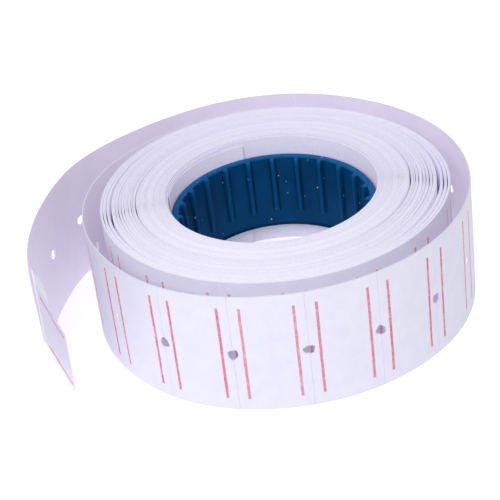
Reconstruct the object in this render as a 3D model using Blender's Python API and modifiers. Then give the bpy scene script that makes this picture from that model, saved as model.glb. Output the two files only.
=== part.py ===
"""A roll of self-adhesive price labels for a hand labeller: a web of kiss-cut
labels on a liner, wound on a ribbed plastic core. The outermost turn has sprung
loose and ends in a free tail whose last label is folded back.

Frame: metres, +Z up along the roll's axis, the roll standing on its side face at
z = 0, origin under the middle of the whole object's footprint."""

import math

import bmesh
import bpy
import numpy as np
from mathutils import Vector

MM = 0.001

# Where the roll's axis stands in the object's frame (mm)
AXIS_X, AXIS_Y = 3.75, 0.15

# Web and labels (mm)
WEB_WIDTH = 21.5
LABEL_PITCH = 12.0  # one label and the slit after it
FIRST_SLIT = 3.5  # distance from the loose turn's start to its first slit
LINER_THICK = 0.12
LABEL_THICK = 0.10
GLUE_GAP = 0.03  # between the liner and a label
SLIT_GAP = 0.10  # kiss-cut slit between neighbouring labels
EDGE_INSET = 0.05  # labels stop this far inside the liner's edges
HOLE_R = 0.9  # feed hole at the middle of each slit
HOLE_SIDES = 12

# Ribbed core (mm)
CORE_OUTER_R = 17.45
CORE_INNER_R_TOP = 16.35
CORE_INNER_R_BOTTOM = 15.95
CORE_Z0, CORE_Z1 = 4.0, 18.0
CORE_LIP = 0.35
RIB_COUNT = 23
RIB_WIDTH = 1.0
RIB_INNER_R = 15.55
RIB_Z0 = 7.0
RIB_PHASE = 9.7  # degrees

# Tight windings and the sprung turns outside them (mm, degrees)
PACK_INNER_R = 17.75
PACK_OUTER_R = 27.1
LEAD_R = 17.52
LEAD_THICK = 0.16
LEAD_FROM, LEAD_TO = 105.0, 172.0
LEAD_TOP = 20.7
TURN_THICK = 0.22
TURN_COUNT = 4
TURN_START = 120.0
TURN_BASE_R = 27.3
TURN_PITCH = 0.27
TURN_SWELL_POWER = 1.3
# How far the outermost sprung turn stands out, round the roll
SWELL = [(-75, 2.36), (-30, 2.2), (0, 1.57), (30, 0.55), (55, 0.1), (90, 0.35),
         (120, 0.97), (150, 1.15), (180, 1.26), (230, 1.75), (285, 2.36)]

# Radius of the loose turn and tail at the web's label face (degrees, mm)
LOOSE = [(120, 29.35), (139, 30.1), (157, 31.3), (180, 32.2), (210, 32.8),
         (240, 33.75), (270, 33.8), (300, 33.7), (330, 33.5), (360, 33.2),
         (390, 33.15), (420, 33.3), (450, 34.1), (477, 34.35), (498, 35.7),
         (516, 37.75), (533, 39.15), (549, 41.3), (561, 43.6)]
STEP = 2.0  # length of one facet along the loose web, mm

# The tail's twisted end, from its last upright slit to the fold (mm)
UPRIGHT_END = 255.5
FOLD_BOTTOM = (-36.14, -23.01, 0.2)
FOLD_TOP = (-37.29, -34.56, 18.29)
FLAP_ALONG = (-0.136, 0.839, 0.527)  # from the fold to the torn edge
END_STEPS = 8
END_LABELS = 2
# Folded-back end: distance from the fold to the torn edge, across the web
FLAP_SLIT = 10.4
FLAP_TORN = 13.2
FLAP_CLEAR = 0.25
FOLD_SPACE = 0.18  # between the tail and the folded end, at the fold
TORN_FROM = 10.75  # the web is torn past its slit above this height

# Tail links turn at these slits, counted along the loose turn
HINGE_SLITS = [15, 17, 19, 21]


def clear_scene():
    for obj in list(bpy.data.objects):
        bpy.data.objects.remove(obj, do_unlink=True)
    for block in (bpy.data.meshes, bpy.data.curves, bpy.data.materials):
        for item in list(block):
            block.remove(item)


def cubic_through(points):
    """Natural cubic spline through (x, y) points, as a function of x."""
    xs = np.array([p[0] for p in points], float)
    ys = np.array([p[1] for p in points], float)
    n, h = len(xs), np.diff(xs)
    a, b = np.zeros((n, n)), np.zeros(n)
    a[0, 0] = a[-1, -1] = 1
    for i in range(1, n - 1):
        a[i, i - 1], a[i, i], a[i, i + 1] = h[i - 1], 2 * (h[i - 1] + h[i]), h[i]
        b[i] = 6 * ((ys[i + 1] - ys[i]) / h[i] - (ys[i] - ys[i - 1]) / h[i - 1])
    m = np.linalg.solve(a, b)

    def at(x):
        i = int(np.clip(np.searchsorted(xs, x) - 1, 0, n - 2))
        d = x - xs[i]
        slope = (ys[i + 1] - ys[i]) / h[i] - h[i] * (2 * m[i] + m[i + 1]) / 6
        return ys[i] + d * slope + d * d * m[i] / 2 + d**3 * (m[i + 1] - m[i]) / (6 * h[i])

    return at


class LoosePath:
    """Plan of the loose turn: a point and an outward normal at each distance."""

    def __init__(self):
        radius = cubic_through(LOOSE)
        angles = np.arange(LOOSE[0][0], LOOSE[-1][0] + 0.01, 0.1)
        r = np.array([radius(a) for a in angles])
        t = np.radians(angles)
        self.xy = np.stack([r * np.cos(t), r * np.sin(t)], 1)
        steps = np.hypot(*np.diff(self.xy, axis=0).T)
        self.s = np.concatenate([[0], np.cumsum(steps)])

    def point(self, s):
        return np.array([np.interp(s, self.s, self.xy[:, 0]), np.interp(s, self.s, self.xy[:, 1])])

    def tangent(self, s):
        d = self.point(s + 0.3) - self.point(s - 0.3)
        return d / np.linalg.norm(d)

    def normal(self, s):
        t = self.tangent(s)
        return np.array([t[1], -t[0]])


def unit(v):
    v = np.asarray(v, float)
    return v / np.linalg.norm(v)


def hermite(p0, m0, p1, m1, t):
    return ((2 * t**3 - 3 * t**2 + 1) * p0 + (t**3 - 2 * t**2 + t) * m0
            + (-2 * t**3 + 3 * t**2) * p1 + (t**3 - t**2) * m1)


class Web:
    """The loose web's label face: bottom point, top point and outward normal at
    each distance s, upright to UPRIGHT_END and twisted from there to the fold."""

    def __init__(self):
        self.path = LoosePath()
        p = self.path.point(UPRIGHT_END)
        t = self.path.tangent(UPRIGHT_END)
        self.b0, self.t0 = np.array([*p, 0.0]), np.array([*p, WEB_WIDTH])
        self.b1, self.t1 = np.array(FOLD_BOTTOM), np.array(FOLD_TOP)
        start = np.array([*t, 0.0])
        end = -unit(FLAP_ALONG)
        self.mb = [start * 14.0, unit(0.8 * end + 0.5 * unit(self.b1 - self.b0)) * 13.0]
        self.mt = [start * 24.0, unit(0.8 * end + 0.6 * unit(self.t1 - self.t0)) * 24.0]
        us = np.linspace(0, 1, 201)
        mid = np.array([(self.edge(u, 0) + self.edge(u, 1)) / 2 for u in us])
        self.us = us
        self.arc = np.concatenate([[0], np.cumsum(np.linalg.norm(np.diff(mid, axis=0), axis=1))])
        self.length = UPRIGHT_END + self.arc[-1]

    def edge(self, u, top):
        if top:
            return hermite(self.t0, self.mt[0], self.t1, self.mt[1], u)
        return hermite(self.b0, self.mb[0], self.b1, self.mb[1], u)

    def line(self, s):
        """(bottom point, top point) across the web at distance s."""
        if s <= UPRIGHT_END:
            p = self.path.point(s)
            return np.array([*p, 0.0]), np.array([*p, WEB_WIDTH])
        u = float(np.interp(s - UPRIGHT_END, self.arc, self.us))
        return self.edge(u, 0), self.edge(u, 1)

    def normals(self, s):
        """Outward normals at the bottom and at the top of the web."""
        if s <= UPRIGHT_END:
            n = self.path.normal(s)
            n = np.array([*n, 0.0])
            return n, n
        u = float(np.interp(s - UPRIGHT_END, self.arc, self.us))
        lo, hi = max(0.0, u - 0.01), min(1.0, u + 0.01)
        across = self.edge(u, 1) - self.edge(u, 0)
        out = []
        for top in (0, 1):
            along = self.edge(hi, top) - self.edge(lo, top)
            out.append(unit(np.cross(along, across)))
        if u < 0.05:
            n = np.array([*self.path.normal(UPRIGHT_END), 0.0])
            f = u / 0.05
            out = [unit(n * (1 - f) + o * f) for o in out]
        return out[0], out[1]


def material(name, colour, roughness=0.6, metallic=0.0):
    mat = bpy.data.materials.new(name)
    mat.use_nodes = True
    shader = mat.node_tree.nodes["Principled BSDF"]
    shader.inputs["Base Color"].default_value = (*colour, 1.0)
    shader.inputs["Roughness"].default_value = roughness
    shader.inputs["Metallic"].default_value = metallic
    mat.diffuse_color = (*colour, 1.0)
    return mat


def empty(name, location, collection, parent=None):
    obj = bpy.data.objects.new(name, None)
    obj.empty_display_size = 0.005
    obj.location = location
    obj.parent = parent
    collection.objects.link(obj)
    return obj


def sheet(name, bottom, top, collection, parent, origin, thickness, mat, inward=False):
    """A strip of sheet: an open surface through pairs of edge points, given
    thickness along its normals, or against them."""
    bm = bmesh.new()
    columns = []
    for b, t in zip(bottom, top):
        columns.append([bm.verts.new(Vector((b - origin) * MM)), bm.verts.new(Vector((t - origin) * MM))])
    for (b0, t0), (b1, t1) in zip(columns, columns[1:]):
        bm.faces.new((b0, b1, t1))
        bm.faces.new((b0, t1, t0))
    mesh = bpy.data.meshes.new(name)
    bm.to_mesh(mesh)
    bm.free()
    mesh.shade_smooth()
    obj = bpy.data.objects.new(name, mesh)
    obj.parent = parent
    collection.objects.link(obj)
    solid = obj.modifiers.new("thickness", "SOLIDIFY")
    solid.thickness = thickness * MM
    solid.offset = -1.0 if inward else 1.0
    solid.use_rim = True
    obj.data.materials.append(mat)
    return obj


def web_grid(slits):
    """Distances shared by the liner and its labels, so that their facets lie
    parallel: both sides of each slit, and even steps between slits."""
    grid = []
    for s0, s1 in zip([0.0] + slits, slits + [slits[-1] + 4.0]):
        s0, s1 = s0 + (SLIT_GAP / 2 if s0 else 0.0), s1 - SLIT_GAP / 2
        count = max(1, int(math.ceil((s1 - s0) / STEP - 0.25)))
        grid += list(np.linspace(s0, s1, count + 1))
    return np.array(grid)


def web_piece(web, grid, name, s0, s1, face, thickness, collection, parent, origin, mat, z_inset=0.0,
              inward=False):
    """Part of the loose web between distances s0 and s1. face is how far its
    surface lies outside the liner's outer face, on the web's path."""
    bottom, top = [], []
    inner = [s for s in grid if s0 + 0.01 < s < s1 - 0.01]
    for s in [s0] + inner + [s1]:
        b, t = web.line(s)
        nb, nt = web.normals(s)
        up = unit(t - b)
        bottom.append(b + nb * face + up * z_inset)
        top.append(t + nt * face - up * z_inset)
    return sheet(name, bottom, top, collection, parent, origin, thickness, mat, inward)


def hole_cutter(name, centre, axis, radius, length, collection):
    bpy.ops.mesh.primitive_cylinder_add(vertices=HOLE_SIDES, radius=radius * MM, depth=length * MM)
    cutter = bpy.context.object
    cutter.name = name
    cutter.location = Vector((centre + np.array([AXIS_X, AXIS_Y, 0.0])) * MM)
    cutter.rotation_euler = Vector(axis).to_track_quat("Z", "Y").to_euler()
    cutter.hide_render = True
    cutter.display_type = "WIRE"
    for c in list(cutter.users_collection):
        c.objects.unlink(cutter)
    collection.objects.link(cutter)
    return cutter


def cut(obj, cutter):
    boolean = obj.modifiers.new("feed_hole", "BOOLEAN")
    boolean.operation = "DIFFERENCE"
    boolean.solver = "EXACT"
    boolean.object = cutter


def turned(name, profile, collection, parent, mat, steps=96):
    """A ring from a closed (r, z) profile in mm, turned about the roll's axis."""
    bm = bmesh.new()
    verts = [bm.verts.new((r * MM, 0, z * MM)) for r, z in profile]
    for a, b in zip(verts, verts[1:] + verts[:1]):
        bm.edges.new((a, b))
    mesh = bpy.data.meshes.new(name)
    bm.to_mesh(mesh)
    bm.free()
    obj = bpy.data.objects.new(name, mesh)
    obj.parent = parent
    collection.objects.link(obj)
    screw = obj.modifiers.new("turn", "SCREW")
    screw.axis = "Z"
    screw.steps = screw.render_steps = steps
    screw.use_merge_vertices = True
    screw.merge_threshold = 0.00001
    screw.use_smooth_shade = True
    obj.data.materials.append(mat)
    return obj


def make_core(collection, helpers, parent, mat):
    slope = (CORE_INNER_R_TOP - CORE_INNER_R_BOTTOM) / (CORE_Z1 - CORE_Z0)
    lip_z = CORE_Z0 + CORE_LIP
    profile = [
        (CORE_OUTER_R - 0.2, CORE_Z1), (CORE_OUTER_R, CORE_Z1 - 0.2), (CORE_OUTER_R, CORE_Z0 + 0.2),
        (CORE_OUTER_R - 0.2, CORE_Z0), (CORE_INNER_R_BOTTOM, CORE_Z0), (CORE_INNER_R_BOTTOM - 0.2, lip_z - 0.15),
        (CORE_INNER_R_BOTTOM + 0.02, lip_z), (CORE_INNER_R_TOP - 0.1, CORE_Z1 - 0.15), (CORE_INNER_R_TOP, CORE_Z1),
    ]
    core = turned("ribbed_core", profile, collection, parent, mat)
    for i in range(RIB_COUNT):
        angle = math.radians(RIB_PHASE + i * 360 / RIB_COUNT)
        outer = CORE_INNER_R_TOP + 0.45
        bpy.ops.mesh.primitive_cube_add(size=1)
        rib = bpy.context.object
        rib.name = f"rib_{i + 1:02d}"
        rib.scale = ((outer - RIB_INNER_R) * MM, RIB_WIDTH * MM, (CORE_Z1 - 0.1 - RIB_Z0) * MM)
        r = (outer + RIB_INNER_R) / 2
        rib.location = ((AXIS_X + r * math.cos(angle)) * MM, (AXIS_Y + r * math.sin(angle)) * MM,
                        (CORE_Z1 - 0.1 + RIB_Z0) / 2 * MM)
        rib.rotation_euler = (0, 0, angle)
        rib.hide_render = True
        rib.display_type = "WIRE"
        for c in list(rib.users_collection):
            c.objects.unlink(rib)
        helpers.objects.link(rib)
        union = core.modifiers.new("rib", "BOOLEAN")
        union.operation = "UNION"
        union.solver = "EXACT"
        union.object = rib
    return core


def make_wound(collection, parent, web_mat, liner_mat):
    h = WEB_WIDTH
    profile = [(PACK_OUTER_R, h), (PACK_OUTER_R, 0), (PACK_INNER_R, 0), (PACK_INNER_R, h)]
    turned("wound_web", profile, collection, parent, web_mat)

    count = 18
    angles = np.radians(np.linspace(LEAD_FROM, LEAD_TO, count + 1))
    ring = np.stack([LEAD_R * np.cos(angles), LEAD_R * np.sin(angles), 0 * angles], 1)
    # the edge points run so that the strip thickens away from the axis
    lift = np.array([0, 0, LEAD_TOP])
    sheet("inner_lead_end", list(ring), [p + lift for p in ring], collection, parent,
          np.zeros(3), LEAD_THICK, liner_mat)

    swell = cubic_through(SWELL)
    for k in range(TURN_COUNT):
        start = TURN_START + 360 * k
        gap = math.degrees(0.3 / TURN_BASE_R)
        angles = np.linspace(start + gap / 2, start + 360 - gap / 2, 97)
        points = []
        for a in angles:
            turn = (a - TURN_START) / 360
            theta = (a + 75) % 360 - 75
            r = (TURN_BASE_R - TURN_THICK / 2 + turn * TURN_PITCH
                 + swell(theta) * (turn / TURN_COUNT) ** TURN_SWELL_POWER)
            points.append(np.array([r * math.cos(math.radians(a)), r * math.sin(math.radians(a)), 0.0]))
        up = np.array([0, 0, h])
        sheet(f"sprung_turn_{k + 1}", points, [p + up for p in points], collection, parent,
              np.zeros(3), TURN_THICK, web_mat)


def torn_reach(w):
    """How far the folded end reaches from the fold, w mm up from its lower edge:
    to its slit below the feed hole, and to a ragged tear above it."""
    if w < TORN_FROM:
        return FLAP_SLIT
    f = (w - TORN_FROM) / (WEB_WIDTH - TORN_FROM)
    return FLAP_TORN + 0.8 * (1 - f) * math.cos(3.1 * f) - 0.35 * math.sin(9 * f) + 0.15 * math.sin(23 * f)


def flap_sheet(name, reach, face, thickness, inset, side, collection, parent, origin, mat):
    """The folded-back end as a flat sheet. reach(w) is its length at height w."""
    low, high = np.array(FOLD_BOTTOM), np.array(FOLD_TOP)
    across, along = unit(high - low), unit(FLAP_ALONG)
    along = unit(along - across * (along @ across))
    out = unit(np.cross(along, across)) * side
    ws = [inset + (WEB_WIDTH - 2 * inset) * i / 20 for i in range(21)]
    mid = TORN_FROM
    ws = sorted(set([w for w in ws if abs(w - mid) > 0.3] + [mid - 0.02, mid + 0.02]))
    near = [low + across * w + along * FLAP_CLEAR + out * face for w in ws]
    far = [low + across * w + along * (reach(w) - inset) + out * face for w in ws]
    if side > 0:
        near, far = far, near
    return sheet(name, near, far, collection, parent, origin, thickness, mat)


def build():
    clear_scene()
    scene = bpy.context.scene
    parts = bpy.data.collections.new("price_label_roll")
    helpers = bpy.data.collections.new("cutters")
    scene.collection.children.link(parts)
    scene.collection.children.link(helpers)

    blue = material("core_blue", (0.01, 0.09, 0.25), 0.38)
    paper = material("label_paper", (0.86, 0.85, 0.9), 0.5)
    web_mat = material("wound_paper", (0.84, 0.83, 0.9), 0.6)
    liner = material("liner_paper", (0.68, 0.64, 0.78), 0.45)

    root = empty("roll_axis", (AXIS_X * MM, AXIS_Y * MM, 0), parts)
    zero = np.zeros(3)
    make_core(parts, helpers, root, blue)
    make_wound(parts, root, web_mat, liner)

    web = Web()
    slits = [FIRST_SLIT + LABEL_PITCH * i for i in range(22)]
    end_pitch = (web.length - 1.3 - slits[-1]) / END_LABELS
    slits += [slits[-1] + end_pitch * (i + 1) for i in range(END_LABELS)]

    # Bodies of the web: the loose turn, the tail's links and the folded end
    hinges = [slits[i] for i in HINGE_SLITS]
    spans = list(zip([0.0] + hinges, hinges + [web.length]))
    anchors = [(root, zero)]
    for i, s in enumerate(hinges):
        p = web.path.point(s) - web.path.normal(s) * LINER_THICK / 2
        at = np.array([*p, 0.0])
        holder = empty(f"tail_hinge_{i + 1}", Vector(at * MM), parts, root)
        anchors.append((holder, at))
    low = np.array(FOLD_BOTTOM)
    fold = empty("fold_hinge", Vector(low * MM), parts, root)

    cutters = []
    for i, s in enumerate(slits):
        b, t = web.line(s)
        nb, nt = web.normals(s)
        cutters.append((s, hole_cutter(f"feed_hole_{i + 1:02d}", (b + t) / 2, unit(nb + nt), HOLE_R, 1.6, helpers)))

    grid = web_grid(slits)
    for i, (s0, s1) in enumerate(spans):
        holder, at = anchors[i]
        name = "loose_turn_liner" if i == 0 else f"tail_liner_{i}"
        last = i == len(spans) - 1
        piece = web_piece(web, grid, name, s0 + (SLIT_GAP / 2 if i else 0), s1 - (FLAP_CLEAR if last else SLIT_GAP / 2),
                          0.0, LINER_THICK, parts, holder, at, liner, inward=True)
        for s, cutter in cutters:
            if s0 - 1 < s < s1 + 1:
                cut(piece, cutter)

    # Labels on the web, each a separate die-cut piece
    edges = [0.0] + slits
    for i, (s0, s1) in enumerate(zip(edges, edges[1:])):
        middle = (s0 + s1) / 2
        k = max(j for j, (a, b) in enumerate(spans) if a <= middle)
        holder, at = anchors[k]
        piece = web_piece(web, grid, f"label_{i + 1:02d}", s0 + SLIT_GAP / 2, s1 - SLIT_GAP / 2, GLUE_GAP,
                          LABEL_THICK, parts, holder, at, paper, EDGE_INSET)
        for s, cutter in cutters:
            if s0 - 1 < s < s1 + 1:
                cut(piece, cutter)

    # The folded-back end: its liner lies towards the tail, its label faces in
    flap_sheet("folded_liner", torn_reach, FOLD_SPACE, LINER_THICK, 0.0, 1, parts, fold, low, liner)
    flap_sheet("folded_label", lambda w: min(torn_reach(w), FLAP_SLIT), FOLD_SPACE + LINER_THICK + GLUE_GAP,
               LABEL_THICK, EDGE_INSET, 1, parts, fold, low, paper)
    return web, slits, hinges


if __name__ == "__main__":
    build()
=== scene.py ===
"""Looks for a roll of price-gun labels: finer paper, die-cut labels with printed
rules, the wound layers and the moulded core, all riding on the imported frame.

Lengths are in millimetres in the roll's own frame until mesh_object() turns them
into metres in the row frame."""

import math

import bpy
import numpy as np
from mathutils import Matrix, Vector
from mathutils.geometry import delaunay_2d_cdt


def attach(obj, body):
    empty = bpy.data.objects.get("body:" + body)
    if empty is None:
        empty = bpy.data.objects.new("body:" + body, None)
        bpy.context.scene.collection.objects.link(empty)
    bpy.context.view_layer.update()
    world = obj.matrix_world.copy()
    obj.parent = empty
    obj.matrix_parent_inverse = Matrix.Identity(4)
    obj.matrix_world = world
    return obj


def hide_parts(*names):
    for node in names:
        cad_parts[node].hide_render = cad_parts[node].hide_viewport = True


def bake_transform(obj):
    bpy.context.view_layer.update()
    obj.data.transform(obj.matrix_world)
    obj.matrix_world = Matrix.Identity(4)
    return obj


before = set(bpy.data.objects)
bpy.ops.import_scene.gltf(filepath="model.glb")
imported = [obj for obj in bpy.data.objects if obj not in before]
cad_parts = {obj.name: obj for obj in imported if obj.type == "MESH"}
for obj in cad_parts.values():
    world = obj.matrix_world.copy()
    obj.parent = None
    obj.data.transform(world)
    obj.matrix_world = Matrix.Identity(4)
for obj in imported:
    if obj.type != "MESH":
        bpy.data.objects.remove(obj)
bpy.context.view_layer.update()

MM = 0.001
AXIS = np.array([3.75, 0.15, 0.0])

# ---------------------------------------------------------------- the web's path
WEB_WIDTH = 21.5
MID = WEB_WIDTH / 2
LABEL_PITCH = 12.0
FIRST_SLIT = 3.5
HALF_SLIT = 0.014
EDGE_INSET = 0.05
HOLE_R = 0.9
RULE_IN = 1.78  # from a slit to its rule
RULE_LOW, RULE_HIGH = 2.14, 19.36

LINER_IN, LINER_OUT = -0.078, 0.0  # faces of the liner, from the web's path
LABEL_IN, LABEL_OUT = 0.004, 0.098  # faces of a label

UPRIGHT_END = 255.5
FOLD_BOTTOM = np.array([-36.14, -23.01, 0.2])
FOLD_TOP = np.array([-37.29, -34.56, 18.29])
FLAP_ALONG = np.array([-0.136, 0.839, 0.527])
FLAP_SLIT, FLAP_TORN, FLAP_CLEAR, TORN_FROM = 10.4, 13.2, 0.25, 10.75
HINGE_SLITS = [15, 17, 19, 21]

LOOSE = [(120, 29.35), (139, 30.1), (157, 31.3), (180, 32.2), (210, 32.8),
         (240, 33.75), (270, 33.8), (300, 33.7), (330, 33.5), (360, 33.2),
         (390, 33.15), (420, 33.3), (450, 34.1), (477, 34.35), (498, 35.7),
         (516, 37.75), (533, 39.15), (549, 41.3), (561, 43.6)]

# Wound layers: one spiral that ends where the loose turn starts, at 120 degrees
TURNS = 50
CORE_SIDE_R = 17.83  # path radius of the first turn
LAST_R = 27.75  # path radius of the last turn, before its swell
# How far the outermost layers stand out, round the roll
SWELL = [(-75, 2.62), (-30, 2.50), (0, 2.04), (30, 1.14), (55, 0.72), (90, 0.89),
         (120, 1.26), (150, 1.44), (180, 1.56), (230, 2.00), (285, 2.62)]
# The share of that swell that opens under this many layers, at the two sides
GAPS = {2: 0.09, 4: 0.13, 6: 0.27, 9: 0.05, 11: 0.08, 13: 0.06, 15: 0.06, 18: 0.05, 20: 0.05, 21: 0.03, 23: 0.13}
OUTER_FROM = -255.0  # the printed outer layer runs from here to 120 degrees


def unit(v):
    v = np.asarray(v, float)
    return v / np.linalg.norm(v, axis=-1, keepdims=True)


def smooth(x):
    x = np.clip(x, 0.0, 1.0)
    return x * x * (3 - 2 * x)


def cubic_through(points):
    """Natural cubic spline through (x, y) points, on arrays."""
    xs = np.array([p[0] for p in points], float)
    ys = np.array([p[1] for p in points], float)
    n, h = len(xs), np.diff(xs)
    a, b = np.zeros((n, n)), np.zeros(n)
    a[0, 0] = a[-1, -1] = 1
    for i in range(1, n - 1):
        a[i, i - 1], a[i, i], a[i, i + 1] = h[i - 1], 2 * (h[i - 1] + h[i]), h[i]
        b[i] = 6 * ((ys[i + 1] - ys[i]) / h[i] - (ys[i] - ys[i - 1]) / h[i - 1])
    m = np.linalg.solve(a, b)

    def at(x):
        x = np.asarray(x, float)
        i = np.clip(np.searchsorted(xs, x) - 1, 0, n - 2)
        d = x - xs[i]
        slope = (ys[i + 1] - ys[i]) / h[i] - h[i] * (2 * m[i] + m[i + 1]) / 6
        return ys[i] + d * slope + d * d * m[i] / 2 + d**3 * (m[i + 1] - m[i]) / (6 * h[i])

    return at


swell_at = cubic_through(SWELL)


def even_share(theta):
    """1 at the front and back, where the layers spread evenly, 0 at the two sides."""
    right = np.abs(np.mod(np.asarray(theta, float) + 180, 360) - 180)
    left = np.abs(np.mod(np.asarray(theta, float), 360) - 172)
    return smooth((right - 22) / 38) * smooth((left - 24) / 36)


def swell_share(total):
    """What share of the swell a layer takes, at total degrees along the spiral."""
    u = (57.0 - np.asarray(total, float)) / 360
    k = np.floor(u).astype(int)
    steps = np.array([1.0 - sum(v for g, v in GAPS.items() if g <= j) for j in range(60)])
    even = np.array([max(0.0, 1.0 - j / 25.0) for j in range(60)])

    def at(values):
        here = np.where(k < 0, 1.0, values[np.clip(k, 0, 59)])
        before = np.where(k < 1, 1.0, values[np.clip(k - 1, 0, 59)])
        return before + (here - before) * smooth((u - k) / 0.06)

    f = even_share(total)
    return at(steps) * (1 - f) + at(even) * f


def spiral_r(total):
    """Path radius of the wound web, at total degrees, which ends at 120."""
    total = np.asarray(total, float)
    turn = TURNS + (total - 120) / 360
    theta = np.mod(total + 75, 360) - 75
    base = CORE_SIDE_R + (LAST_R - CORE_SIDE_R) * turn / TURNS
    ease = 0.34 * smooth((total - 57) / 126.0) * 2
    return base + swell_at(theta) * swell_share(total) + ease


def hermite(p0, m0, p1, m1, t):
    t = np.asarray(t, float)[..., None]
    return ((2 * t**3 - 3 * t**2 + 1) * p0 + (t**3 - 2 * t**2 + t) * m0
            + (-2 * t**3 + 3 * t**2) * p1 + (t**3 - t**2) * m1)


class Web:
    """Tables of the outer web's lower edge, upper edge and outward normals against
    the distance s: negative on the wound roll, 0 where the loose turn starts."""

    def __init__(self):
        angles = np.arange(OUTER_FROM - 20, 120.01, 0.25)
        r, t = spiral_r(angles), np.radians(angles)
        inner = np.stack([r * np.cos(t), r * np.sin(t)], 1)
        angles = np.arange(120.25, 561.01, 0.25)
        r, t = cubic_through(LOOSE)(angles), np.radians(angles)
        outer = np.stack([r * np.cos(t), r * np.sin(t)], 1)
        plan = np.concatenate([inner, outer])
        dist = np.concatenate([[0], np.cumsum(np.hypot(*np.diff(plan, axis=0).T))])
        dist -= dist[len(inner) - 1]
        self.start = dist[0] + 1.0
        self.outer_from = dist[80]

        def at(s):
            return np.stack([np.interp(s, dist, plan[:, 0]), np.interp(s, dist, plan[:, 1])], 1)

        up = np.arange(self.start, UPRIGHT_END, 0.1)
        tang = unit(at(up + 0.4) - at(up - 0.4))
        p = at(up)
        zero = np.zeros(len(up))
        low = np.column_stack([p, zero])
        normal = np.column_stack([tang[:, 1], -tang[:, 0], zero])

        end_p = at(np.array([UPRIGHT_END]))[0]
        end_t = unit(at(np.array([UPRIGHT_END + 0.3]))[0] - at(np.array([UPRIGHT_END - 0.3]))[0])
        b0, t0 = np.array([*end_p, 0.0]), np.array([*end_p, WEB_WIDTH])
        along = np.array([*end_t, 0.0])
        back = -unit(FLAP_ALONG)
        mb = [along * 14.0, unit(0.8 * back + 0.5 * unit(FOLD_BOTTOM - b0)) * 13.0]
        mt = [along * 24.0, unit(0.8 * back + 0.6 * unit(FOLD_TOP - t0)) * 24.0]
        us = np.linspace(0, 1, 401)
        lower = hermite(b0, mb[0], FOLD_BOTTOM, mb[1], us)
        upper = hermite(t0, mt[0], FOLD_TOP, mt[1], us)
        mids = (lower + upper) / 2
        arc = np.concatenate([[0], np.cumsum(np.linalg.norm(np.diff(mids, axis=0), axis=1))])
        self.length = UPRIGHT_END + arc[-1]
        across = upper - lower
        nb = unit(np.cross(np.gradient(lower, axis=0), across))
        nt = unit(np.cross(np.gradient(upper, axis=0), across))
        first = np.array([end_t[1], -end_t[0], 0.0])
        fade = np.clip(us / 0.05, 0, 1)[:, None]
        nb, nt = unit(first * (1 - fade) + nb * fade), unit(first * (1 - fade) + nt * fade)

        self.s = np.concatenate([up, UPRIGHT_END + arc])
        self.low = np.concatenate([low, lower])
        self.high = np.concatenate([low + [0, 0, WEB_WIDTH], upper])
        self.nlow = np.concatenate([normal, nb])
        self.nhigh = np.concatenate([normal, nt])

    def read(self, table, s):
        return np.stack([np.interp(s, self.s, table[:, i]) for i in range(3)], 1)

    def place(self, s, w, face):
        """Points at distance s, height w and face mm outside the path."""
        s, w = np.asarray(s, float), np.asarray(w, float)
        f = (w / WEB_WIDTH)[:, None]
        low, high = self.read(self.low, s), self.read(self.high, s)
        n = unit(self.read(self.nlow, s) * (1 - f) + self.read(self.nhigh, s) * f)
        out = face + paper_wave(s, w)
        return low + (high - low) * f + n * np.reshape(out, (-1, 1))

    def normal(self, s, w):
        d = 0.15
        s, w = np.asarray(s, float), np.asarray(w, float)
        along = self.place(s + d, w, 0.0) - self.place(s - d, w, 0.0)
        across = self.place(s, w + d, 0.0) - self.place(s, w - d, 0.0)
        return unit(np.cross(along, across))


def paper_wave(s, w):
    """Small buckles of the loose paper, mostly along its edges."""
    free = smooth((s - 8) / 30) * (1 - smooth((s - 247) / 8))
    edge = np.abs(w / MID - 1) ** 2
    buckle = 0.045 * np.sin(s / 6.1 + 0.6) * np.sin(s / 14.3) * edge
    body = 0.03 * np.sin(s / 9.7 + w / 9.0) + 0.02 * np.sin(s / 3.8 - w / 6.5 + 1.3)
    return free * (buckle + body)


# ------------------------------------------------------------------- mesh making
def in_polygon(points, polygon):
    x, y = points[:, 0], points[:, 1]
    inside = np.zeros(len(points), bool)
    px, py = polygon[:, 0], polygon[:, 1]
    for x0, y0, x1, y1 in zip(px, py, np.roll(px, -1), np.roll(py, -1)):
        crosses = (y0 > y) != (y1 > y)
        if crosses.any():
            at = x0 + (y - y0) / (y1 - y0 + 1e-30) * (x1 - x0)
            inside ^= crosses & (x < at)
    return inside


def near_loop(points, loop, reach):
    """Which points lie nearer than reach to a corner of the loop."""
    out = np.zeros(len(points), bool)
    for q in loop:
        out |= ((points - q) ** 2).sum(1) < reach * reach
    return out


def densify(corners, step=1.0):
    out = []
    corners = np.asarray(corners, float)
    for a, b in zip(corners, np.roll(corners, -1, axis=0)):
        n = max(1, int(math.ceil(np.linalg.norm(b - a) / step - 1e-6)))
        out += [a + (b - a) * i / n for i in range(n)]
    return np.array(out)


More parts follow.
